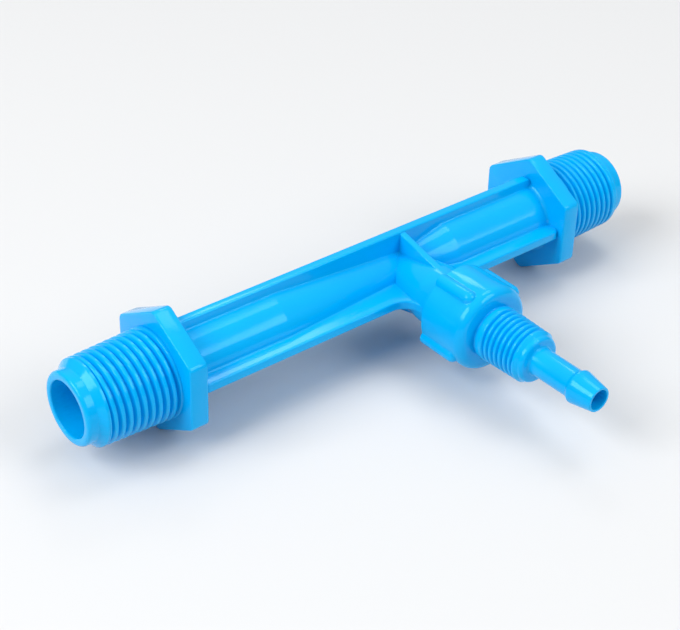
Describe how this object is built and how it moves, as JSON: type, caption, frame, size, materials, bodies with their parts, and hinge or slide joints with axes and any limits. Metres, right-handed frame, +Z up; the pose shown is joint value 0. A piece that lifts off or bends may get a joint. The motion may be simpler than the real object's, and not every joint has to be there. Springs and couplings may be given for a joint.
{
  "type": "venturi fertilizer injector",
  "caption": "Ribbed plastic venturi tube with male pipe threads and hexagons at its ends, and a side suction branch with a lugged cap, check ball, thread and hose barb.",
  "frame": {"origin": "on the main axis, at the outer face of the inlet hexagon", "axes": "+X along the main axis out of the inlet, suction branch along -Y, +Z up along a corner of the hexagons"},
  "size_m": [0.1602, 0.0794, 0.031],
  "materials": {
    "blue_plastic": "glossy moulded polypropylene",
    "valve_ball": "smooth off-white plastic"
  },
  "bodies": {
    "injector": {"injector_body": "blue_plastic", "suction_cap": "blue_plastic"},
    "ball": {"check_ball": "valve_ball"}
  },
  "joints": [
    {"name": "ball_lift", "type": "slide", "parent": "injector", "child": "ball", "axis": [0, 1, 0], "range_m": [0, 0.0024]}
  ]
}
